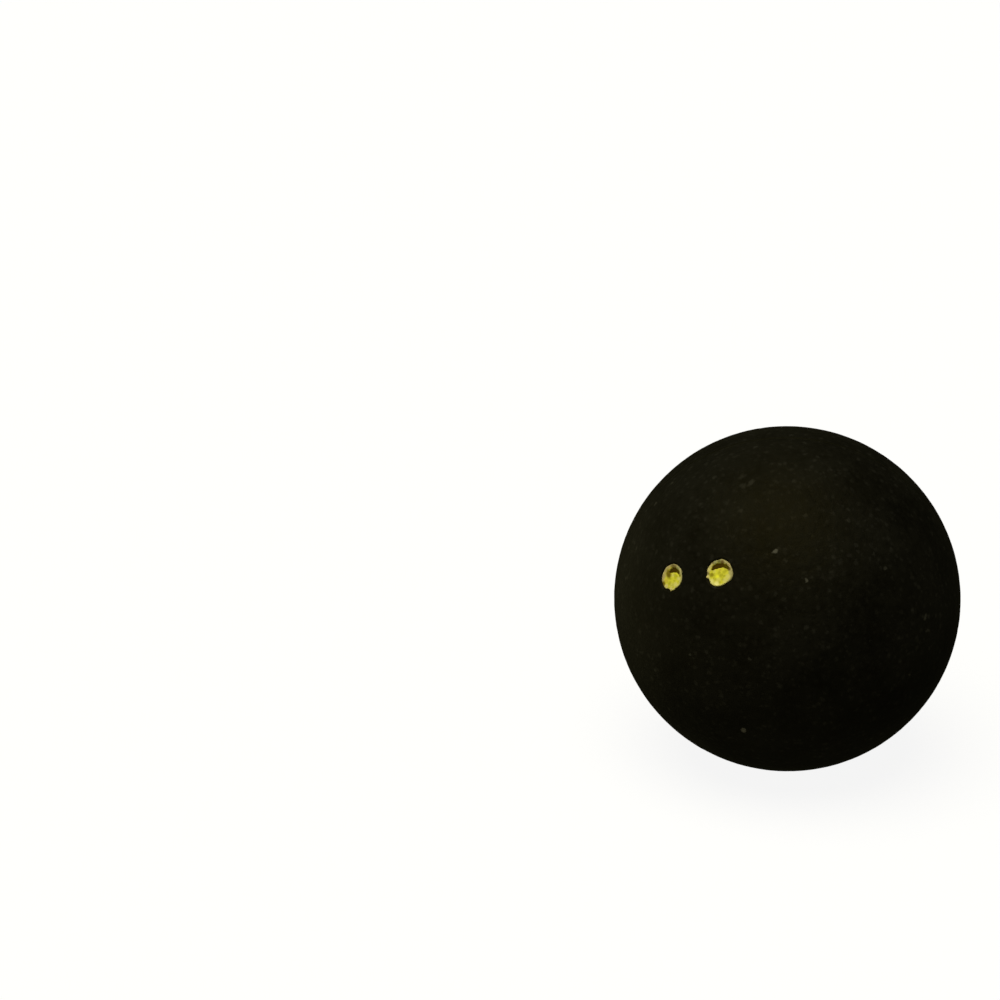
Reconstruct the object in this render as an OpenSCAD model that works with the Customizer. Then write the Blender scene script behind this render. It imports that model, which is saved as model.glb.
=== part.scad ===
// Squash ball: two moulded rubber half shells glued rim to rim round trapped air,
// with two dots of ink stamped into the front shell.
// The origin is the ball's centre. The seam lies in the XZ plane, +Y runs along its axis
// from the front shell to the rear one, and +Z is up.

/* [Ball] */
// Outer diameter of the ball
ball_d = 40; // [36:0.1:44]
// Thickness of the rubber wall
wall_t = 5.2; // [3.5:0.1:8]

/* [Seam] */
// Thickness of the cured adhesive between the two rims
bond_t = 0.2; // [0.1:0.05:0.5]
// Depth of the fine groove that buffing leaves along the adhesive
seam_sink = 0.05; // [0.02:0.01:0.2]
// Size of the broken edge round the outside of each rim
rim_break = 0.1; // [0.05:0.01:0.3]
// Radius of the bead of adhesive that is squeezed out inside the ball
bead_r = 0.6; // [0.3:0.1:1.5]

/* [Dots] */
// Diameter of each dot, across its ring of ink
dot_d = 3.2; // [2:0.1:4.5]
// Distance between the dots' centres, along the ball's surface
dots_apart = 6.3; // [5:0.1:12]
// How far the pair of dots lies round from the front, to the right
dots_turn = -35.2; // [-40:0.1:40]
// How far the pair of dots lies above the ball's middle
dots_rise = 26.5; // [-40:0.5:40]
// Slant of the line through the two dots
dots_slant = 20; // [-90:1:90]
// Depth of the recess that the stamp presses into the rubber
stamp_depth = 0.15; // [0.08:0.01:0.4]
// Thickness of the ink in the recess
ink_t = 0.1; // [0.05:0.01:0.3]
// Width of the ring of ink round each dot's edge
ring_w = 0.35; // [0.2:0.05:0.6]
// Widest part of the crescent inside the ring that the ink missed
bare_w = 0.55; // [0.2:0.05:0.8]
// Side of the left dot that its bare crescent faces
left_bare_turn = 120; // [0:1:360]
// Side of the right dot that its bare crescent faces
right_bare_turn = 92; // [0:1:360]

/* [Hidden] */
$fn = 180;

ball_r = ball_d / 2;
cavity_r = ball_r - wall_t;
half_bond = bond_t / 2;
dot_r = dot_d / 2;
// Radius of the ring's inner edge, and of the patch of ink inside it
patch_r = dot_r - ring_w;
// Radii of the ink's underside and of its outer face
recess_r = ball_r - stamp_depth;
ink_r = recess_r + ink_t;
// Angle at the ball's centre from the middle of the pair to either dot
dot_swing = dots_apart / 2 / ball_r * 180 / PI;
// How far cutting tools run past what they cut
overrun = 1;

LEFT = -1;
RIGHT = 1;

rubber_black = "#14130d";
bond_black = "#1d1b15";
ink_yellow = "#d9d23c";

// Turns what is modelled round +Z so that it points along the seam's axis, to the front
module facing_front() {
    rotate([90, 0, 0]) children();
}

// Cross-section of one half shell, from its rim to its crown
module shell_profile() {
    difference() {
        intersection() {
            circle(ball_r);
            translate([0, half_bond]) square(ball_r);
        }
        circle(cavity_r);
        translate([ball_r, half_bond]) rotate(45) square(rim_break * sqrt(2), center = true);
    }
}

module half_shell() {
    rotate_extrude() shell_profile();
}

// Cross-section of the adhesive: a thin web between the rims and the bead inside them
module bond_profile() {
    difference() {
        intersection() {
            circle(ball_r - seam_sink);
            translate([0, -half_bond]) square([ball_r, bond_t]);
        }
        circle(cavity_r);
    }
    intersection() {
        circle(cavity_r);
        translate([cavity_r, 0]) circle(bead_r);
    }
}

// Puts what is modelled round +Z on one of the two dots, pointing out of the ball
module at_dot(side) {
    rotate([0, 0, dots_turn])
        rotate([90 - dots_rise, 0, 0])
            rotate([0, 0, dots_slant])
                rotate([0, side * dot_swing, 0])
                    children();
}

// The rubber that the stamp presses away
module stamp_tool() {
    difference() {
        cylinder(h = ball_r + overrun, r = dot_r);
        sphere(recess_r);
    }
}

// Outline of the ink: a ring round a patch that sits off centre, with a bare crescent left between them
module ink_outline(bare_turn) {
    difference() {
        circle(dot_r);
        rotate(bare_turn)
            difference() {
                circle(patch_r);
                translate([-bare_w, 0]) circle(patch_r);
            }
    }
}

module ink(bare_turn) {
    intersection() {
        linear_extrude(ball_r + overrun) ink_outline(bare_turn);
        difference() {
            sphere(ink_r);
            sphere(recess_r);
        }
    }
}

module front_half_shell() {
    color(rubber_black)
        difference() {
            facing_front() half_shell();
            for (side = [LEFT, RIGHT])
                at_dot(side) stamp_tool();
        }
}

module rear_half_shell() {
    color(rubber_black) mirror([0, 1, 0]) facing_front() half_shell();
}

module seam_bond() {
    color(bond_black) facing_front() rotate_extrude() bond_profile();
}

module left_dot() {
    color(ink_yellow) at_dot(LEFT) ink(left_bare_turn);
}

module right_dot() {
    color(ink_yellow) at_dot(RIGHT) ink(right_bare_turn);
}

front_half_shell();
rear_half_shell();
seam_bond();
left_dot();
right_dot();
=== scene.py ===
"""Looks of a squash ball: its rubber half shells, the adhesive in the seam and the stamped dots.

The meshes are worked out in millimetres round the ball's centre and written in metres.
"""
import math

import bmesh
import bpy
import numpy as np
from mathutils import Matrix, Vector, noise


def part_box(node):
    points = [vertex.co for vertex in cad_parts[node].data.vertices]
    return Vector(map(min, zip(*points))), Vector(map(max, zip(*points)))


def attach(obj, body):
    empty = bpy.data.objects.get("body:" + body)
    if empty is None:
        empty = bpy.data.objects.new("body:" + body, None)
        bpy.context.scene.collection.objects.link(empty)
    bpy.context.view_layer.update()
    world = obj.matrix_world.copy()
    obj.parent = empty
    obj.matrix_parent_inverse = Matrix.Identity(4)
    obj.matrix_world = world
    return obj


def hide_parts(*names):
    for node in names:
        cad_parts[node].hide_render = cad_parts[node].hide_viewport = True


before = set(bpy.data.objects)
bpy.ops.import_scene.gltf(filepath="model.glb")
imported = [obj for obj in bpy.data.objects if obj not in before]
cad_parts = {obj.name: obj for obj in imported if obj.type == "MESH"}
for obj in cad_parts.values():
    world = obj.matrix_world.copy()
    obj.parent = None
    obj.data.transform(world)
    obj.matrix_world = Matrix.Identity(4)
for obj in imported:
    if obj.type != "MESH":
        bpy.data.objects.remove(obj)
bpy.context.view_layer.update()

MM = 0.001
FRONT, REAR = -1, 1
LEFT, RIGHT = -1, 1


def node_radii(name):
    """How far each vertex of a CAD node lies from the ball's centre."""
    return np.array([vertex.co.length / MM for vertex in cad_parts[name].data.vertices])


# Sizes that the frame gives
BALL_R = node_radii("front_half_shell").max()
CAVITY_R = node_radii("rear_half_shell").min()
HALF_BOND = -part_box("front_half_shell")[1].y / MM
WEB_R = node_radii("seam_bond").max()
BEAD_R = CAVITY_R - node_radii("seam_bond").min()
STAMP_DEPTH = BALL_R - node_radii("left_dot").min()
INK_T = node_radii("left_dot").max() - node_radii("left_dot").min()

# The dots, as in the part: sizes in millimetres, angles in degrees
DOT_R = 1.6
DOTS_APART = 6.3
DOTS_TURN = -35.2
DOTS_RISE = 26.5
DOTS_SLANT = 20
RING_W = 0.35

# How fine the meshes are: faces across a half sphere, how near a dot's middle they are halved once and
# twice in millimetres, and the step of the grid for the ink
SKIN_STEPS = 144
CAVITY_STEPS = 36
HALVED_REACHES = (2.5, 2.1)
INK_STEP = 0.05


# How far apart the patterns of two neighbouring seeds lie in the noise
SEED_STEP = Vector((17.3, 5.1, 9.7))


def waves(points, size, seed, octaves=1):
    """Smooth noise, about -1 to 1, at each point; size is the width of one wave."""
    shift = SEED_STEP * seed
    return np.array([
        noise.fractal(Vector(point) / size + shift, 1.0, 2.0, octaves) for point in points
    ])


def ease(values, low, high):
    """0 below low, 1 above high and a smooth rise between them."""
    share = np.clip((values - low) / (high - low), 0, 1)
    return share * share * (3 - 2 * share)


def dot_axes(side):
    """The dot's own right, up and outward directions, as the columns of a matrix."""
    swing = side * DOTS_APART / 2 / BALL_R
    return np.array(
        Matrix.Rotation(math.radians(DOTS_TURN), 3, "Z")
        @ Matrix.Rotation(math.radians(90 - DOTS_RISE), 3, "X")
        @ Matrix.Rotation(math.radians(DOTS_SLANT), 3, "Z")
        @ Matrix.Rotation(swing, 3, "Y")
    )


DOT_AXES = {side: dot_axes(side) for side in (LEFT, RIGHT)}


def on_dot(directions, side):
    """Places round a dot, measured along the ball's surface: right, up."""
    local = directions @ DOT_AXES[side]
    across = np.linalg.norm(local[:, :2], axis=1)
    arc = BALL_R * np.arctan2(across, local[:, 2])
    return local[:, :2] * (arc / np.maximum(across, 1e-9))[:, None]


def off_dot(places, side):
    """Directions from the ball's centre to places round a dot."""
    arc = np.linalg.norm(places, axis=1)
    angle = arc / BALL_R
    share = np.sin(angle) / np.maximum(arc, 1e-9)
    local = np.column_stack([places * share[:, None], np.cos(angle)])
    return local @ DOT_AXES[side].T


def round_wave(angles, seed, lobes):
    """Smooth noise round a circle; more lobes make it more ragged."""
    circle = np.column_stack([np.cos(angles), np.sin(angles), np.zeros(len(angles))])
    return waves(circle * lobes, size=1, seed=seed, octaves=2)


# The buffed skin: the width and height of its waves and grain, and how far it is sunk for their crests
RELIEF = ((1.9, 0.012), (0.8, 0.012), (0.42, 0.006))
RELIEF_SUNK_SHARE = 0.8
# Its pits: one in a cell at most, and only in cells that draw a high enough lot
PIT_SPACING = 3.2
PIT_R = 0.3
PIT_DEPTH = 0.03
PIT_LOT = (127.1, 311.7, 74.7)
PIT_LEAST_LOT = 0.2
# The stamped recesses: the width of the sloping wall, how far the edge wavers, and the lip round it
STAMP_WALL = 0.14
STAMP_INSET = 0.02
STAMP_WAVER = 0.03
STAMP_LIP = 0.015
STAMP_LIP_SPREAD = 0.12


def relief_depth(points, seed):
    """How deep the buffed skin lies under the ball's full radius, with its waves, grain and pits."""
    depth = np.full(len(points), sum(height for _, height in RELIEF) * RELIEF_SUNK_SHARE)
    for size, height in RELIEF:
        depth += height * waves(points, size, seed + size, octaves=2)
    for row, point in enumerate(points):
        distances, centres = noise.voronoi(Vector(point) / PIT_SPACING)
        if math.sin(centres[0].dot(PIT_LOT)) > PIT_LEAST_LOT:
            share = distances[0] * PIT_SPACING / PIT_R
            depth[row] += PIT_DEPTH * max(0, 1 - share * share)
    return np.maximum(depth, 0)


def stamp_share(places, seed):
    """1 on the floor of a stamped recess, 0 outside it."""
    edge = DOT_R + STAMP_WAVER * round_wave(np.arctan2(places[:, 1], places[:, 0]), seed, lobes=2.5)
    arc = np.linalg.norm(places, axis=1)
    return 1 - ease(arc, edge - STAMP_INSET, edge + STAMP_WALL)


def skin_depth(directions, side_of_seam):
    """How deep the skin of one half shell lies, its recesses included, at each direction."""
    depth = relief_depth(directions * BALL_R, side_of_seam)
    if side_of_seam == FRONT:
        for side in (LEFT, RIGHT):
            places = on_dot(directions, side)
            arc = np.linalg.norm(places, axis=1)
            near = arc < DOT_R * 2
            stamped = np.zeros(len(directions))
            stamped[near] = stamp_share(places[near], side)
            lip = STAMP_LIP * np.exp(-((arc - DOT_R - STAMP_WALL) / STAMP_LIP_SPREAD) ** 2)
            depth = depth * (1 - stamped) + STAMP_DEPTH * stamped
            depth = np.maximum(depth - lip * (1 - stamped), 0)
    return depth


def half_sphere(steps, reach):
    """Unit directions and quads of the half sphere round -Y, out to the polar angle reach."""
    whole = np.tan(np.radians(np.linspace(-45, 45, steps + 1)))
    half = np.tan(np.radians(np.linspace(0, 45, steps // 2 + 1)))
    directions, quads = [], []

    def add_patch(right, up, outward, rights, ups):
        first = len(directions)
        for b in ups:
            directions.extend(outward + right * a + up * b for a in rights)
        wide = len(rights)
        for j in range(len(ups) - 1):
            for i in range(wide - 1):
                corner = first + j * wide + i
                quads.append((corner, corner + 1, corner + wide + 1, corner + wide))

    x, y, z = np.eye(3)
    add_patch(x, z, -y, whole, whole)
    for outward, right in ((x, z), (z, -x), (-x, -z), (-z, x)):
        add_patch(right, -y, outward, whole, half)

    directions = np.array(directions)
    directions /= np.linalg.norm(directions, axis=1)[:, None]
    _, first, welded = np.unique(
        np.round(directions, 7) + 0.0, axis=0, return_index=True, return_inverse=True
    )
    directions, quads = directions[first], welded.ravel()[np.array(quads)]

    polar = np.arccos(np.clip(-directions[:, 1], -1, 1)) * reach / (math.pi / 2)
    azimuth = np.arctan2(directions[:, 2], directions[:, 0])
    return towards(polar, azimuth), quads


def towards(polar, azimuth):
    """Unit directions at a polar angle from -Y and an azimuth round it."""
    return np.column_stack([
        np.sin(polar) * np.cos(azimuth), -np.cos(polar), np.sin(polar) * np.sin(azimuth)
    ])


def refined(directions, quads, middles, reaches):
    """The same skin with its faces halved near the given directions, once for each reach."""
    mesh = bmesh.new()
    for direction in directions:
        mesh.verts.new(direction)
    mesh.verts.ensure_lookup_table()
    for quad in quads:
        mesh.faces.new([mesh.verts[i] for i in quad])
    for reach in reaches:
        limit = math.cos(reach / BALL_R)
        near = {v for v in mesh.verts if max(v.co.normalized().dot(m) for m in middles) > limit}
        bmesh.ops.subdivide_edges(
            mesh,
            edges=[e for e in mesh.edges if e.verts[0] in near and e.verts[1] in near],
            cuts=1,
            use_grid_fill=True,
        )
    mesh.verts.index_update()
    directions = np.array([v.co.normalized() for v in mesh.verts])
    faces = [[v.index for v in face.verts] for face in mesh.faces]
    mesh.free()
    return directions, faces


def bridge(ring, following):
    """Faces between two rings of points, the second with as many points as the first or half as many."""
    count, faces = len(following), []
    if len(ring) == count:
        for i in range(count):
            j = (i + 1) % count
            faces.append((ring[i], ring[j], following[j], following[i]))
        return faces
    for i in range(count):
        start, middle, end = ring[2 * i], ring[2 * i + 1], ring[(2 * i + 2) % len(ring)]
        near, far = following[i], following[(i + 1) % count]
        faces += [(start, middle, near), (middle, far, near), (middle, end, far)]
    return faces


def made_object(name, points, faces, uvs, regions, material, replaced):
    """A closed, smooth piece from points in millimetres, with one function in uvs for each region's map."""
    mesh = bpy.data.meshes.new(name)
    mesh.from_pydata((np.array(points) * MM).tolist(), [], [list(map(int, face)) for face in faces])
    mesh.validate()
    layer = mesh.uv_layers.new(name="OFBake")
    placed = [make(np.array(points)) for make in uvs]
    for polygon, region in zip(mesh.polygons, regions, strict=True):
        for loop in polygon.loop_indices:
            layer.data[loop].uv = placed[region][mesh.loops[loop].vertex_index]
    edit = bmesh.new()
    edit.from_mesh(mesh)
    bmesh.ops.recalc_face_normals(edit, faces=edit.faces)
    edit.to_mesh(mesh)
    edit.free()
    mesh.polygons.foreach_set("use_smooth", [True] * len(mesh.polygons))
    mesh.materials.append(material)
    piece = bpy.data.objects.new(name, mesh)
    bpy.context.scene.collection.objects.link(piece)
    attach(piece, "root")
    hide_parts(replaced)
    return piece


# Bare margin round a map
MAP_MARGIN = 0.01


def disc_map(middle, radius):
    """Lays a half sphere out as a disc of even scale."""
    def place(points):
        directions = points / np.linalg.norm(points, axis=1)[:, None]
        polar = np.arccos(np.clip(np.abs(directions[:, 1]), 0, 1))
        azimuth = np.arctan2(directions[:, 2], directions[:, 0])
        reach = radius * np.sin(polar / 2) / math.sin(math.pi / 4)
        return np.column_stack([middle[0] + reach * np.cos(azimuth), middle[1] + reach * np.sin(azimuth)])
    return place


def flat_map(middle, radius):
    """Lays the rim out flat."""
    def place(points):
        return np.array(middle) + points[:, [0, 2]] * (radius / BALL_R)
    return place


# How each half shell closes: from the skin over the edge that buffing has worn, across the rim and into
# the cavity
EDGE_REACH = 0.32
EDGE_ROUND = 0.12
EDGE_DEPTH = 0.035
EDGE_WAVER = 0.35
EDGE_RINGS = (0.22, 0.15, 0.1, 0.06, 0.03, 0.0)
RIM_SHARES = (0.93, 0.62, 0.3)
CAVITY_WAVE = 0.04
CAVITY_WAVE_SIZE = 7
CAVITY_FADE = 0.2
# An angle under which a point counts as lying on the half sphere's edge
ON_EDGE = 1e-5
# The regions of a half shell's map, and where each is laid out in it: middle and radius
SKIN, RIM, CAVITY = range(3)
SKIN_DISC = ((0.5, 0.5), 0.4925)
RIM_DISC = ((0.0858, 0.0858), 0.08)
CAVITY_DISC = ((0.9142, 0.0858), 0.08)


def edge_points(directions, reach):
    """The points on the edge of a half sphere, in order round it, and their azimuths."""
    polar = np.arccos(np.clip(-directions[:, 1], -1, 1))
    ring = np.flatnonzero(polar > reach - ON_EDGE)
    azimuths = np.arctan2(directions[ring, 2], directions[ring, 0])
    order = np.argsort(azimuths)
    return ring[order], azimuths[order]


def shell_skin(reach, side_of_seam):
    """Directions and faces of a half shell's skin, finer round the dots."""
    directions, faces = half_sphere(SKIN_STEPS, reach)
    if side_of_seam == FRONT:
        middles = [Vector(axes[:, 2]) for axes in DOT_AXES.values()]
        directions, faces = refined(directions, faces, middles, HALVED_REACHES)
    return directions, faces


def closing_rings(azimuths, mirror, side_of_seam):
    """The rings over the worn edge and across the rim: radii, height, which points to keep, region."""
    wear = 1 + EDGE_WAVER * round_wave(azimuths, seed=4 + side_of_seam, lobes=6)
    for inset in EDGE_RINGS:
        level = HALF_BOND + inset
        plain = towards(np.full(len(azimuths), math.acos(level / BALL_R)), azimuths)
        broken = EDGE_DEPTH * wear * (1 - min(inset / EDGE_ROUND, 1)) ** 1.5
        radius = BALL_R - skin_depth(plain * mirror, side_of_seam) - broken
        yield np.sqrt(radius ** 2 - level ** 2), -level, 1, SKIN
    for share, every in zip(RIM_SHARES, (1, 2, 4), strict=True):
        yield CAVITY_R + (BALL_R - CAVITY_R) * share, -HALF_BOND, every, RIM


def cavity_wall(side_of_seam):
    """The slightly wavy inner wall: its points, its faces, and the points on its edge in order round it."""
    reach = math.acos(HALF_BOND / CAVITY_R)
    directions, faces = half_sphere(CAVITY_STEPS, reach)
    polar = np.arccos(np.clip(-directions[:, 1], -1, 1))
    fade = np.clip((reach - polar) / CAVITY_FADE, 0, 1)
    places = directions * CAVITY_R
    wave = CAVITY_WAVE * waves(places, CAVITY_WAVE_SIZE, seed=2 + side_of_seam, octaves=2) * fade
    return directions * (CAVITY_R + wave)[:, None], faces, edge_points(directions, reach)[0]


def half_shell(name, side_of_seam, material):
    """A moulded rubber cup: grained skin, broken edge, flat rim and smooth cavity."""
    mirror = np.array([1, -side_of_seam, 1])
    reach = math.acos((HALF_BOND + EDGE_REACH) / BALL_R)
    directions, faces = shell_skin(reach, side_of_seam)
    ring, azimuths = edge_points(directions, reach)
    points = list(directions * (BALL_R - skin_depth(directions * mirror, side_of_seam))[:, None])
    faces = list(faces)
    regions = [SKIN] * len(faces)

    def add_faces(added, region):
        faces.extend(added)
        regions.extend([region] * len(added))

    for radii, height, every, region in closing_rings(azimuths, mirror, side_of_seam):
        turned = azimuths[::every]
        following = range(len(points), len(points) + len(turned))
        heights = np.full(len(turned), height)
        points.extend(np.column_stack([radii * np.cos(turned), heights, radii * np.sin(turned)]))
        add_faces(bridge(ring, following), region)
        ring = following

    inner, inner_faces, inner_edge = cavity_wall(side_of_seam)
    first = len(points)
    points.extend(inner)
    add_faces(bridge(ring, inner_edge + first), RIM)
    add_faces(inner_faces + first, CAVITY)

    uvs = (disc_map(*SKIN_DISC), flat_map(*RIM_DISC), disc_map(*CAVITY_DISC))
    return made_object(
        name + "_rubber", np.array(points) * mirror, faces, uvs, regions, material, name
    )


# The cured adhesive: points round it, the hollow along its outer edge, and the bead inside the ball,
# which is a little smaller than its solid
BOND_TURNS = 576
BOND_MENISCUS = 0.01
MENISCUS_WAVER = 0.5
BEAD_SHARE = 0.88
BEAD_WAVER = 0.1
BEAD_POINTS = 13


def seam_bond(material):
    """The web between the rims, hollowed along its outer edge, and the uneven bead inside the ball."""
    azimuths = np.linspace(-math.pi, math.pi, BOND_TURNS, endpoint=False)
    outer = WEB_R - BOND_MENISCUS * (1 + MENISCUS_WAVER * round_wave(azimuths, seed=11, lobes=9))
    lump = BEAD_R * (BEAD_SHARE + BEAD_WAVER * round_wave(azimuths, seed=12, lobes=5))
    profile = [
        (outer + BOND_MENISCUS * share ** 2, np.full(BOND_TURNS, share * HALF_BOND))
        for share in (1, 0.5, 0, -0.5, -1)
    ]
    inner = np.full(BOND_TURNS, float(CAVITY_R))
    middle = np.full(BOND_TURNS, (CAVITY_R + BALL_R) / 2)
    profile += [(middle, np.full(BOND_TURNS, -HALF_BOND)), (inner, np.full(BOND_TURNS, -HALF_BOND))]
    for angle in np.radians(np.linspace(-90, 90, BEAD_POINTS)):
        height = lump * math.sin(angle)
        wall = np.sqrt(CAVITY_R ** 2 - height ** 2)
        profile.append((wall - lump * math.cos(angle), height))
    profile += [(inner, np.full(BOND_TURNS, HALF_BOND)), (middle, np.full(BOND_TURNS, HALF_BOND))]

    points, faces = [], []
    for radii, heights in profile:
        points.extend(np.column_stack([radii * np.cos(azimuths), heights, radii * np.sin(azimuths)]))
    rings = [range(k * BOND_TURNS, (k + 1) * BOND_TURNS) for k in range(len(profile))]
    for ring, following in zip(rings, rings[1:] + rings[:1], strict=True):
        faces.extend(bridge(ring, following))

    def unrolled(points):
        around = np.arctan2(points[:, 2], points[:, 0]) / (2 * math.pi) + 0.5
        row = np.repeat(np.arange(len(profile)), BOND_TURNS) / len(profile)
        return np.column_stack([around, row]) * (1 - 2 * MAP_MARGIN) + MAP_MARGIN

    return made_object(
        "seam_adhesive", points, faces, (unrolled,), [0] * len(faces), material, "seam_bond"
    )


# The stamped ink. Places on a dot are in millimetres to its right and up from its middle. The ring is the
# thickest part, each edge is rounded over a short way, and the film is sunk a little into the recess's floor
RING_T = STAMP_DEPTH - 0.01
INK_EDGE = 0.15
INK_SUNK = 0.015
# How far the film's plain outline lies inside the recess's edge, and its radius
INK_INSET = 0.06
INK_R = DOT_R - INK_INSET
# How the outline wavers round the dot: how far, with how many lobes, and the seed
OUTLINE_WAVES = ((0.035, 2.2, 21), (0.02, 6, 24))
# How far the bare stroke's edge is ragged, and the width of one wave there
RAGGED_DEPTH = 0.08
RAGGED_SIZE = 0.4
# How uneven the ink's thickness is, and the width of one wave there
UNEVEN_SHARE = 0.2
UNEVEN_SIZE = 0.45
# Where the recess's wall begins, and what is left of the ink's thickness on it
WALL_START = DOT_R + 0.02
ON_WALL_SHARE = 0.35
# How far the grid for the ink runs past the dot, and how near its edge may come to the grid's own points,
# as shares of a step, so that no face is a sliver
INK_MARGIN = 0.4
CROSSING_SHARES = (0.12, 0.88)
# Where the film's outer face and its underside are laid out in its map: middle and radius
INK_TOP_DISC = (0.36, 0.34)
INK_UNDER_DISC = (0.86, 0.13)
# Where the outline is flattened, or swells below zero: the side in degrees, how far, over how many degrees
FLATS = {
    LEFT: ((2, 0.11, 18), (146, 0.05, 14), (246, 0.20, 13), (300, 0.16, 30)),
    RIGHT: (
        (77, -0.07, 9), (98, 0.04, 8), (153, -0.05, 12), (211, 0.10, 10), (228, -0.04, 10),
        (294, 0.14, 26), (342, -0.10, 18),
    ),
}
# Where a blot stands out of the ring: its side in degrees, its distance out and its radius
BLOTS = {LEFT: (263, 1.42, 0.14), RIGHT: (193, 1.48, 0.18)}
# The stroke that the ink missed, from its left end to its right: right, up, half its width
BARE_STROKES = {
    LEFT: (
        (-0.34, 0.68, 0.10), (-0.12, 0.80, 0.21), (0.16, 0.83, 0.27), (0.50, 0.78, 0.25),
        (0.78, 0.66, 0.18), (0.98, 0.36, 0.09), (1.10, 0.08, 0.04),
    ),
    RIGHT: (
        (-0.86, 0.46, 0.15), (-0.66, 0.68, 0.24), (-0.36, 0.80, 0.29), (0.00, 0.84, 0.24),
        (0.36, 0.84, 0.22), (0.70, 0.74, 0.25), (0.98, 0.54, 0.14),
    ),
}


def from_stroke(places, stroke):
    """How far each place lies outside a stroke of changing width."""
    best = np.full(len(places), np.inf)
    for (u, v, start), (next_u, next_v, end) in zip(stroke, stroke[1:]):
        step = np.array([next_u - u, next_v - v])
        share = np.clip((places - (u, v)) @ step / (step @ step), 0, 1)
        near = np.array([u, v]) + share[:, None] * step
        reach = start + (end - start) * share
        best = np.minimum(best, np.linalg.norm(places - near, axis=1) - reach)
    return best


def blot_place(side):
    """Where a dot's blot lies, right and up."""
    turn, out, _ = BLOTS[side]
    return out * math.cos(math.radians(turn)), out * math.sin(math.radians(turn))


def ink_cover(places, side):
    """How far inside the ink each place lies; below zero there is none."""
    u, v = places.T
    arc, angle = np.hypot(u, v), np.arctan2(v, u)
    edge = np.full(len(places), INK_R)
    for wave_depth, lobes, seed in OUTLINE_WAVES:
        edge = edge + wave_depth * round_wave(angle, seed + side, lobes)
    for flat_side, flat_depth, flat_width in FLATS[side]:
        from_flat = (np.degrees(angle) - flat_side + 180) % 360 - 180
        edge = edge - flat_depth * np.exp(-((from_flat / flat_width) ** 2))
    blot_u, blot_v = blot_place(side)
    inked = np.maximum(edge - arc, BLOTS[side][2] - np.hypot(u - blot_u, v - blot_v))
    flat = np.column_stack([places, np.zeros(len(places))])
    ragged = RAGGED_DEPTH * waves(flat, RAGGED_SIZE, seed=27 + side, octaves=2)
    return np.minimum(inked, from_stroke(places, BARE_STROKES[side]) + ragged)


def ink_thickness(places, cover, side):
    """The ink's thickness: a full ring, a thinner and uneven patch, and rounded edges."""
    arc = np.linalg.norm(places, axis=1)
    ringed = np.exp(-((arc - DOT_R + RING_W / 2) / (RING_W / 2)) ** 2)
    flat = np.column_stack([places, np.zeros(len(places))])
    uneven = 1 + UNEVEN_SHARE * waves(flat, UNEVEN_SIZE, seed=31 + side, octaves=2)
    full = (INK_T * (1 - ringed) + RING_T * ringed) * uneven
    full *= np.where(arc > WALL_START, ON_WALL_SHARE, 1)
    rise = 1 - np.clip(cover / INK_EDGE, 0, 1)
    return full * np.sqrt(1 - rise * rise)


def traced(grid, cover):
    """The faces of a square grid where the cover is above zero, cut off where it crosses zero.

    Gives their places, the faces, and which places lie on the cut.
    """
    count = math.isqrt(len(grid))
    places, index, faces = [], {}, []

    def corner(i):
        if i not in index:
            index[i] = len(places)
            places.append(grid[i])
        return index[i]

    def crossing(i, j):
        key = (min(i, j), max(i, j))
        if key not in index:
            share = np.clip(cover[key[0]] / (cover[key[0]] - cover[key[1]]), *CROSSING_SHARES)
            index[key] = len(places)
            places.append(grid[key[0]] * (1 - share) + grid[key[1]] * share)
        return index[key]

    for row in range(count - 1):
        for column in range(count - 1):
            first = row * count + column
            square = (first, first + 1, first + count + 1, first + count)
            outline = []
            for i, j in zip(square, square[1:] + square[:1], strict=True):
                if cover[i] > 0:
                    outline.append(corner(i))
                if (cover[i] > 0) != (cover[j] > 0):
                    outline.append(crossing(i, j))
            if len(outline) > 2:
                faces.append(outline)

    on_cut = np.zeros(len(places), bool)
    on_cut[[made for key, made in index.items() if isinstance(key, tuple)]] = True
    return np.array(places), faces, on_cut


def film_map(side, reach, middle, radius):
    """Lays one face of a film of ink out flat."""
    def place(points):
        directions = points / np.linalg.norm(points, axis=1)[:, None]
        return middle + on_dot(directions, side) * radius / reach
    return place


def ink_dot(name, side, material):
    """A film of ink whose uneven edges are traced on a fine grid, closed over and under."""
    reach = DOT_R + INK_MARGIN
    line = np.linspace(-reach, reach, int(round(2 * reach / INK_STEP)) + 1)
    grid = np.array([(u, v) for v in line for u in line])
    places, faces, on_cut = traced(grid, ink_cover(grid, side))

    directions = off_dot(places, side)
    floor = BALL_R - skin_depth(directions, FRONT)
    thickness = ink_thickness(places, np.maximum(ink_cover(places, side), 0), side)
    over = directions * (floor + np.where(on_cut, 0, thickness))[:, None]
    under = directions * (floor - INK_SUNK)[:, None]
    below = np.arange(len(places))
    below[~on_cut] = len(places) + np.arange((~on_cut).sum())
    points = np.vstack([over, under[~on_cut]])
    faces_under = [[int(below[i]) for i in reversed(face)] for face in faces]
    regions = [0] * len(faces) + [1] * len(faces_under)

    uvs = (film_map(side, reach, *INK_TOP_DISC), film_map(side, reach, *INK_UNDER_DISC))
    return made_object(name + "_ink", points, faces + faces_under, uvs, regions, material, name)


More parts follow.
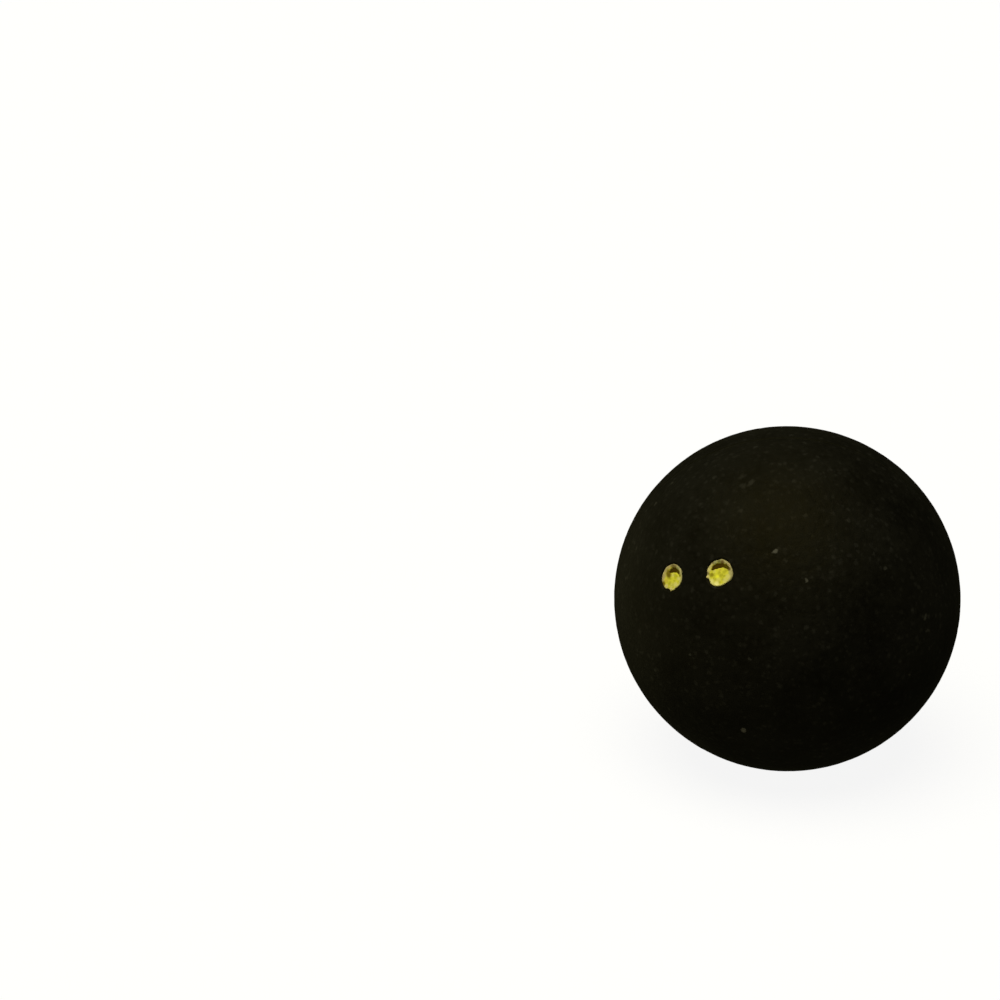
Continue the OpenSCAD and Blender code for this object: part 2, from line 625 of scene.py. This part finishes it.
class Shader:
    """A material's nodes, added one at a time."""

    def __init__(self, name):
        self.material = bpy.data.materials.new(name)
        self.material.use_nodes = True
        self.tree = self.material.node_tree
        self.surface = self.tree.nodes["Principled BSDF"]

    def add(self, kind, inputs, output=0, **settings):
        """Adds a node and gives one of its outputs. An input is a plain value or another node's output."""
        node = self.tree.nodes.new(kind)
        for key, value in settings.items():
            setattr(node, key, value)
        for key, value in inputs.items():
            self.put(node.inputs[key], value)
        return node.outputs[output]

    def put(self, socket, value):
        """Links another node's output to an input, or sets the input's value."""
        if isinstance(value, bpy.types.NodeSocket):
            self.tree.links.new(value, socket)
        else:
            socket.default_value = value

    def set(self, **values):
        """Sets the surface's own inputs, with spaces written as underscores."""
        for key, value in values.items():
            self.put(self.surface.inputs[key.replace("_", " ")], value)

    def place(self):
        """The place on the object in millimetres."""
        place = self.add("ShaderNodeTexCoord", {}, "Object")
        return self.add("ShaderNodeVectorMath", {0: place, "Scale": 1 / MM}, operation="SCALE")

    def noise(self, place, size, detail=2.0, roughness=0.5):
        """Smooth noise from 0 to 1; size is the width of one wave in millimetres."""
        return self.add(
            "ShaderNodeTexNoise",
            {"Vector": place, "Scale": 1 / size, "Detail": detail, "Roughness": roughness},
        )

    def math(self, operation, first, second=0.0):
        """One step of arithmetic on two numbers."""
        return self.add("ShaderNodeMath", {0: first, 1: second}, operation=operation)

    def span(self, value, low, high, start=0.0, end=1.0, smooth=False):
        """Maps low to start and high to end, and holds at both."""
        return self.add(
            "ShaderNodeMapRange",
            {"Value": value, "From Min": low, "From Max": high, "To Min": start, "To Max": end},
            interpolation_type="SMOOTHSTEP" if smooth else "LINEAR",
        )

    def fade(self, value, near, far, strength=1.0):
        """The strength up to near, falling smoothly to 0 at far."""
        return self.span(value, near, far, start=strength, end=0.0, smooth=True)

    def mix(self, share, first, second):
        """Mixes two colours."""
        colours = {"Fac": share, "Color1": first, "Color2": second}
        return self.add("ShaderNodeMixRGB", colours)

    def distance(self, place, point):
        """How far the place lies from a point, in millimetres."""
        return self.add("ShaderNodeVectorMath", {0: place, 1: point}, "Value", operation="DISTANCE")

    def bump(self, height, depth):
        """Turns heights from 0 to 1 into a normal; depth is in millimetres."""
        return self.add("ShaderNodeBump", {"Height": height, "Distance": depth * MM, "Strength": 1.0})


# Colours in linear light
RUBBER_DARK = (0.0014, 0.0015, 0.0013, 1)
RUBBER_LIGHT = (0.0052, 0.0053, 0.0044, 1)
RUBBER_GRAIN = (0.0210, 0.0205, 0.0175, 1)
RUBBER_SHEEN = (1.0, 0.84, 0.3, 1)
DUST = (0.078, 0.075, 0.062, 1)
STAIN_BROWN = (0.054, 0.031, 0.001, 1)
STAIN_OLIVE = (0.080, 0.064, 0.001, 1)
BOND_DARK = (0.0022, 0.0025, 0.0012, 1)
BOND_LIGHT = (0.0050, 0.0054, 0.0028, 1)
INK_YELLOW = (0.72, 0.69, 0.044, 1)
INK_WORN = (0.50, 0.47, 0.022, 1)
INK_PALE = (0.74, 0.69, 0.20, 1)
INK_CREAM = (0.94, 0.89, 0.32, 1)
INK_BRIGHT = (0.92, 0.90, 0.04, 1)
INK_OLIVE = (0.30, 0.26, 0.008, 1)
INK_OCHRE = (0.16, 0.110, 0.001, 1)
INK_AMBER = (0.66, 0.52, 0.06, 1)
RING_PALE = (0.66, 0.57, 0.21, 1)
RING_CREAM = (0.44, 0.40, 0.17, 1)
RING_TAN = (0.46, 0.36, 0.15, 1)
RING_GREY = (0.31, 0.31, 0.13, 1)
RING_OLIVE = (0.18, 0.175, 0.052, 1)
RING_BROWN = (0.15, 0.10, 0.025, 1)

# The rubber's pattern, with widths in millimetres: clouds, a finer mottle, and how far that roughens the skin
CLOUD_SIZE = 6
MOTTLE_SIZE = 0.9
MOTTLE_BUMP = 0.09
# How far the round grains and specks are pushed out of shape, and the width of one wave there
WOBBLE_REACH = 0.5
WOBBLE_SIZE = 0.5
# Layers of paler grains: spacing, radius, and the lots that give none and the strongest
GRAINS = ((0.95, 0.40, 0.2, 1.3), (0.6, 0.24, 0.3, 1.8))
# Specks of dust: the same four, and their strength
SPECKS = (1.8, 0.46, 0.3, 1.0)
SPECK_STRENGTH = 0.08
# The share of a spot's or a dab's radius that has its full strength
CORE_SHARE = 0.25
# Where the skin's colour gives way to the recess's, and how wide the change is
STAIN_R = DOT_R - 0.1
STAIN_BLEND = 0.2

# Where the ink soaked into the bare rubber of each recess: right, up, reach
STAINS = {LEFT: (0.82, 0.48, 0.5), RIGHT: (0.85, 0.72, 0.7)}
# Where each ring is palest, towards the dot's lower edge; it turns duller away from there: right, up
RING_FOOT = {LEFT: (0.35, -1.35), RIGHT: (-0.30, -1.50)}
# Dabs of other colours on each dot: right, up, reach, colour, strength
DABS = {
    LEFT: (
        (0.18, 0.24, 0.34, INK_PALE, 0.6),
        (0.70, 0.08, 0.42, INK_WORN, 0.7),
        (-0.28, -0.62, 0.36, INK_WORN, 0.8),
        (0.02, -0.86, 0.42, INK_PALE, 0.4),
        (-0.78, -0.25, 0.40, INK_AMBER, 0.8),
        (0.55, -0.86, 0.44, INK_PALE, 1.0),
        (1.00, -0.22, 0.34, INK_PALE, 0.8),
        (-1.28, -0.58, 0.48, INK_OCHRE, 1.0),
        (-0.78, -0.86, 0.34, RING_PALE, 0.9),
        (-0.15, -1.22, 0.32, RING_PALE, 0.9),
        (-0.60, 0.66, 0.60, INK_OCHRE, 0.9),
        (-0.42, 0.32, 0.56, INK_OCHRE, 1.0),
        (-1.14, 0.30, 0.46, RING_TAN, 0.9),
        (-1.30, -0.04, 0.36, RING_TAN, 0.8),
        (-1.02, 0.88, 0.42, RING_TAN, 0.9),
        (-0.45, 1.24, 0.40, RING_TAN, 1.0),
        (0.10, 1.26, 0.44, RING_BROWN, 0.8),
        (0.46, 1.18, 0.42, RING_BROWN, 0.8),
        (0.96, 1.02, 0.32, RING_GREY, 1.0),
        (1.30, 0.44, 0.30, RING_CREAM, 0.9),
        (1.18, 0.06, 0.24, INK_OLIVE, 0.9),
    ),
    RIGHT: (
        (-0.26, -0.42, 0.34, INK_BRIGHT, 1.0),
        (0.22, -0.28, 0.34, INK_WORN, 1.0),
        (-0.06, 0.02, 0.26, INK_WORN, 0.7),
        (0.56, 0.08, 0.32, INK_WORN, 0.8),
        (0.10, 0.38, 0.34, INK_AMBER, 0.4),
        (-0.62, 0.22, 0.30, INK_PALE, 0.4),
        (-0.92, -0.16, 0.38, INK_OLIVE, 1.0),
        (-0.14, -0.80, 0.46, INK_PALE, 0.5),
        (0.06, -1.05, 0.22, INK_WORN, 0.8),
        (-0.36, -1.20, 0.44, INK_CREAM, 1.0),
        (-0.86, -0.84, 0.36, INK_CREAM, 0.6),
        (0.66, -0.86, 0.42, INK_PALE, 0.8),
        (1.00, -0.45, 0.42, INK_PALE, 0.8),
        (1.32, 0.02, 0.40, RING_CREAM, 0.8),
        (1.14, 0.40, 0.34, RING_BROWN, 1.0),
        (1.12, 0.84, 0.34, RING_TAN, 0.8),
        (0.64, 1.22, 0.30, RING_CREAM, 0.7),
        (0.32, 1.18, 0.40, RING_BROWN, 1.0),
        (-0.04, 1.30, 0.36, RING_OLIVE, 1.0),
        (-0.52, 1.22, 0.34, RING_GREY, 0.9),
        (-0.80, 1.16, 0.26, RING_BROWN, 0.7),
        (-1.06, 0.92, 0.34, RING_PALE, 0.8),
        (-1.34, 0.42, 0.40, RING_PALE, 0.9),
        (-1.34, 0.02, 0.26, RING_BROWN, 0.7),
    ),
}

# Pale scuffs on the skin. Degrees round from the front to the right and above the ball's middle, length
# and width in millimetres, slant in degrees, strength
SCUFFS = (
    (-5.3, 38.9, 0.84, 0.42, 32, 0.85),
    (-13.6, -25.3, 0.66, 0.95, 0, 0.95),
    (6.9, 29.7, 0.52, 0.32, 85, 0.6),
    (-27.9, 61.9, 1.30, 0.70, 80, 0.16),
    (-31.9, 59.9, 0.95, 0.85, 0, 0.11),
    (-37.5, 63.5, 1.40, 0.60, 60, 0.07),
    (-82.4, 47.1, 0.60, 0.50, 60, 0.26),
    (-78.5, 38.8, 0.60, 0.50, 0, 0.24),
    (-70.4, 13.4, 0.70, 0.50, 90, 0.2),
    (52.1, 10.9, 0.95, 0.50, 55, 0.36),
    (53.0, 6.0, 1.00, 0.30, -30, 0.2),
    (44.8, -7.3, 0.45, 0.36, 0, 0.3),
    (38.6, 30.5, 0.50, 0.40, 20, 0.25),
    (-31.6, 0.9, 0.44, 0.36, 0, 0.25),
    (-10.8, 3.5, 0.55, 0.40, -30, 0.2),
)


def scuff_mask(shader, place, turn, rise, length, width, slant):
    """1 on a small oval of the skin and 0 away from it."""
    turn, rise, slant = (math.radians(angle) for angle in (turn, rise, slant))
    outward = Vector((math.sin(turn) * math.cos(rise), -math.cos(turn) * math.cos(rise), math.sin(rise)))
    right = Vector((math.cos(turn), math.sin(turn), 0))
    up = outward.cross(right)
    along = right * math.cos(slant) + up * math.sin(slant)
    across = up * math.cos(slant) - right * math.sin(slant)
    offset = shader.add("ShaderNodeVectorMath", {0: place, 1: outward * BALL_R}, operation="SUBTRACT")
    squares = []
    for axis, size in ((along, length), (across, width), (outward, length * 2)):
        reach = shader.add(
            "ShaderNodeVectorMath", {0: offset, 1: axis * 2 / size}, "Value", operation="DOT_PRODUCT"
        )
        squares.append(shader.math("MULTIPLY", reach, reach))
    total = shader.math("ADD", shader.math("ADD", squares[0], squares[1]), squares[2])
    return shader.fade(total, near=0.1, far=1.3)


def spots(shader, place, spacing, radius, low, high):
    """Soft round spots, one in each cell; their strengths differ, and cells below low have none."""
    cells = {"Vector": place, "Scale": 1 / spacing}
    near = shader.add("ShaderNodeTexVoronoi", cells, "Distance")
    lot = shader.add("ShaderNodeTexVoronoi", cells, "Color")
    spot = shader.fade(near, radius / spacing * CORE_SHARE, radius / spacing)
    return shader.math("MULTIPLY", spot, shader.span(lot, low, high))


def wobbled(shader, place, size, reach):
    """The place shifted by smooth noise, which makes round spots uneven."""
    shift = shader.add(
        "ShaderNodeTexNoise", {"Vector": place, "Scale": 1 / size, "Detail": 1.0}, "Color"
    )
    shift = shader.add("ShaderNodeVectorMath", {0: shift, 1: (0.5, 0.5, 0.5)}, operation="SUBTRACT")
    shift = shader.add("ShaderNodeVectorMath", {0: shift, "Scale": reach}, operation="SCALE")
    return shader.add("ShaderNodeVectorMath", {0: place, 1: shift}, operation="ADD")


def on_skin(side, right, up):
    """The place on the ball's surface that lies so far right and up from a dot's middle."""
    return off_dot(np.array([[right, up]]), side)[0] * BALL_R


def rubber():
    """Matt black rubber: cloudy tone, a soft stipple of paler grains, specks of dust and a few scuffs."""
    shader = Shader("buffed_rubber")
    place = shader.place()
    clouds = shader.noise(place, CLOUD_SIZE)
    mottle = shader.noise(place, MOTTLE_SIZE, detail=2.5, roughness=0.6)
    tone = shader.add("ShaderNodeMath", {0: mottle, 1: 0.8, 2: clouds}, operation="MULTIPLY_ADD")
    colour = shader.mix(shader.span(tone, low=0.65, high=1.15), RUBBER_DARK, RUBBER_LIGHT)
    uneven = wobbled(shader, place, WOBBLE_SIZE, WOBBLE_REACH)
    coarse, fine = (spots(shader, uneven, *layer) for layer in GRAINS)
    grains = shader.math("MAXIMUM", coarse, fine)
    stipple = shader.math("MULTIPLY", grains, shader.span(clouds, low=0.38, high=0.60, start=0.4))
    colour = shader.mix(stipple, colour, RUBBER_GRAIN)
    specks = shader.math("POWER", spots(shader, uneven, *SPECKS), 1.5)
    colour = shader.mix(shader.math("MULTIPLY", specks, SPECK_STRENGTH), colour, DUST)

    for turn, rise, length, width, slant, strength in SCUFFS:
        mask = scuff_mask(shader, uneven, turn, rise, length, width, slant)
        colour = shader.mix(shader.math("MULTIPLY", mask, strength), colour, DUST)

    for side in (LEFT, RIGHT):
        right, up, reach = STAINS[side]
        from_olive = shader.distance(place, on_skin(side, right, up))
        stain = shader.mix(shader.fade(from_olive, near=0, far=reach), STAIN_BROWN, STAIN_OLIVE)
        from_middle = shader.distance(place, on_skin(side, 0, 0))
        stained = shader.fade(from_middle, STAIN_R - STAIN_BLEND, STAIN_R)
        colour = shader.mix(stained, colour, stain)

    worn = shader.math("SUBTRACT", mottle, stipple)
    shader.set(
        Base_Color=colour,
        Roughness=shader.span(worn, low=-0.2, high=0.7, start=0.47, end=0.65),
        Specular_IOR_Level=0.067,
        Specular_Tint=RUBBER_SHEEN,
        Normal=shader.bump(mottle, MOTTLE_BUMP),
    )
    return shader.material


# The adhesive's pattern: the widths of its streaks and of its lumps, and the height of the lumps
STREAK_SIZE = 0.8
LUMP_SIZE = 0.3
LUMP_BUMP = 0.02


def adhesive():
    """Cured rubber solution: a little smoother and browner than the shells."""
    shader = Shader("cured_adhesive")
    place = shader.place()
    streaks = shader.noise(place, STREAK_SIZE, detail=3)
    shader.set(
        Base_Color=shader.mix(shader.span(streaks, low=0.35, high=0.65), BOND_DARK, BOND_LIGHT),
        Roughness=shader.span(streaks, low=0.3, high=0.7, start=0.5, end=0.7),
        Specular_IOR_Level=0.075,
        Specular_Tint=RUBBER_SHEEN,
        Normal=shader.bump(shader.noise(place, LUMP_SIZE), LUMP_BUMP),
    )
    return shader.material


# The ink's pattern, in millimetres: the widths of its patches, of the painted shade along its edge and of its
# fine lumps, the height of the lumps, and over what distances one colour gives way to the next
PATCH_SIZE = 0.4
EDGE_SHADE_SIZE = 0.3
FINE_SIZE = 0.12
FINE_BUMP = 0.008
RING_BLEND = 0.1
FOOT_REACHES = (0.7, 1.9)
BARE_SHADE = (-0.02, 0.14)
EDGE_SHADE_START = INK_R - 0.14
EDGE_SHADE_END = INK_R + 0.04
BLOT_BLEND = 0.1


def ink(side):
    """Stamped yellow ink: an uneven bright patch, a duller ring, dabs of other colours, and painted shade
    along its edge.
    """
    shader = Shader("stamped_ink_left" if side == LEFT else "stamped_ink_right")
    place = shader.place()
    patches = shader.noise(place, PATCH_SIZE, detail=3, roughness=0.6)
    colour = shader.mix(shader.span(patches, low=0.36, high=0.52), INK_WORN, INK_YELLOW)
    from_middle = shader.distance(place, on_skin(side, 0, 0))
    from_foot = shader.distance(place, on_skin(side, *RING_FOOT[side]))
    ring = shader.mix(shader.fade(from_foot, *FOOT_REACHES), RING_CREAM, INK_PALE)
    ring_r = DOT_R - RING_W
    ringed = shader.span(from_middle, ring_r - RING_BLEND, ring_r + RING_BLEND, smooth=True)
    colour = shader.mix(ringed, colour, ring)
    from_bare = None
    for right, up, reach in BARE_STROKES[side]:
        gap = shader.math("SUBTRACT", shader.distance(place, on_skin(side, right, up)), reach)
        from_bare = gap if from_bare is None else shader.math("MINIMUM", from_bare, gap)
    colour = shader.mix(shader.span(from_bare, *BARE_SHADE, start=0.85, end=0.0), colour, INK_OLIVE)
    for right, up, reach, dab, strength in DABS[side]:
        from_dab = shader.distance(place, on_skin(side, right, up))
        share = shader.fade(from_dab, CORE_SHARE * reach, reach, strength)
        colour = shader.mix(share, colour, dab)
    # Painted shade: the ink turns unevenly brown towards its outer edge, at the foot of the recess's wall
    edge = shader.span(from_middle, EDGE_SHADE_START, EDGE_SHADE_END)
    edge_shade = shader.span(shader.noise(place, EDGE_SHADE_SIZE), low=0.42, high=0.6, start=0.15, end=0.75)
    colour = shader.mix(shader.math("MULTIPLY", edge, edge_shade), colour, RING_BROWN)
    from_blot = shader.distance(place, on_skin(side, *blot_place(side)))
    blot_r = BLOTS[side][2]
    blotted = shader.span(from_blot, blot_r, blot_r + BLOT_BLEND, start=1.0, end=0.0)
    colour = shader.mix(blotted, colour, RING_PALE)
    shader.set(
        Base_Color=colour,
        Roughness=shader.span(patches, low=0.3, high=0.7, start=0.42, end=0.62),
        Specular_IOR_Level=0.18,
        Normal=shader.bump(shader.noise(place, FINE_SIZE), FINE_BUMP),
    )
    return shader.material


# The view: the ball lies off the picture's centre, seen along +Y and from above. Sizes in millimetres,
# angles in degrees; the camera turns by its yaw and pitch to put the ball where the picture has it
CAMERA_LENS = 115.2
CAMERA_SENSOR = 36
CAMERA_DISTANCE = 372.6
CAMERA_RISE = 24
CAMERA_YAW = 5.60
CAMERA_PITCH = 22.34
CAMERA_CLIP = (10, 10000)


def add_camera():
    """The camera, at the picture's viewing angle."""
    data = bpy.data.cameras.new("camera")
    data.lens, data.sensor_width = CAMERA_LENS, CAMERA_SENSOR
    data.clip_start, data.clip_end = (limit * MM for limit in CAMERA_CLIP)
    camera = bpy.data.objects.new("camera", data)
    rise = math.radians(CAMERA_RISE)
    camera.location = Vector((0, -math.cos(rise), math.sin(rise))) * CAMERA_DISTANCE * MM
    camera.rotation_euler = (math.radians(90 - CAMERA_PITCH), 0, math.radians(CAMERA_YAW))
    bpy.context.scene.collection.objects.link(camera)
    bpy.context.scene.camera = camera


# Soft lights: azimuth of the side that they come from, with 0 in front and 90 at the right, height in
# degrees, strength, angular width and colour. The low rear one is narrow and lies exactly opposite the
# camera, because rubber glares at the ball's outline under any wider light there
WHITE = (1.0, 0.97, 0.76)
WARM = (1.0, 0.94, 0.66)
YELLOW = (1.0, 0.95, 0.48)
LIGHTS = {
    "key": (-25, 74, 2.55, 50, WHITE),
    "left_fill": (-109, -4, 0.41, 62, YELLOW),
    "front_fill": (-8, 15, 0.32, 60, WARM),
    "right_fill": (86, 2, 0.18, 64, WARM),
    "low_left_fill": (-60, -20, 0.32, 60, WARM),
    "low_fill": (10, -62, 0.18, 64, WARM),
    "rear_fill": (180, -24, 0.35, 10, WARM),
    "rear_top": (-150, 58, 0.21, 50, YELLOW),
}
AMBIENT = (0.039, 0.038, 0.021, 1)


def add_lights():
    """The soft lights and a dim surround."""
    for name, (azimuth, height, strength, width, colour) in LIGHTS.items():
        data = bpy.data.lights.new(name, "SUN")
        data.energy, data.angle, data.color = strength, math.radians(width), colour
        light = bpy.data.objects.new(name, data)
        turn, rise = math.radians(azimuth), math.radians(height)
        source = Vector((math.sin(turn) * math.cos(rise), -math.cos(turn) * math.cos(rise), math.sin(rise)))
        light.rotation_euler = source.to_track_quat("Z", "Y").to_euler()
        bpy.context.scene.collection.objects.link(light)
    world = bpy.data.worlds.new("studio")
    world.use_nodes = True
    world.node_tree.nodes["Background"].inputs["Color"].default_value = AMBIENT
    bpy.context.scene.world = world
    bpy.context.scene.view_settings.view_transform = "Standard"


# The stage: a pale floor and a white backdrop, which throw no light on the ball. Its radius is in metres
STAGE_R = 2.0
FLOOR_TONE = 0.12
FLOOR_GLOW = 0.9


def add_stage():
    """The floor and the backdrop, each in a plain glowing material."""
    def plain(name, tone, glow):
        shader = Shader(name)
        shader.set(
            Base_Color=(tone, tone, tone, 1),
            Roughness=1.0,
            Specular_IOR_Level=0.0,
            Emission_Color=(1, 1, 1, 1),
            Emission_Strength=glow,
        )
        return shader.material

    bottom = -BALL_R * MM
    bpy.ops.mesh.primitive_circle_add(
        vertices=96, radius=STAGE_R, fill_type="TRIFAN", location=(0, 0, bottom)
    )
    floor = bpy.context.object
    floor.name = "floor"
    floor.data.materials.append(plain("pale_floor", FLOOR_TONE, FLOOR_GLOW))
    bpy.ops.mesh.primitive_uv_sphere_add(segments=64, ring_count=32, radius=STAGE_R)
    backdrop = bpy.context.object
    backdrop.name = "backdrop"
    backdrop.data.materials.append(plain("white_backdrop", 0.0, 1.0))
    for thing in (floor, backdrop):
        thing.visible_diffuse = thing.visible_glossy = thing.visible_shadow = False


add_camera()
black_rubber = rubber()
half_shell("front_half_shell", FRONT, black_rubber)
half_shell("rear_half_shell", REAR, black_rubber)
seam_bond(adhesive())
ink_dot("left_dot", LEFT, ink(LEFT))
ink_dot("right_dot", RIGHT, ink(RIGHT))
add_lights()
add_stage()
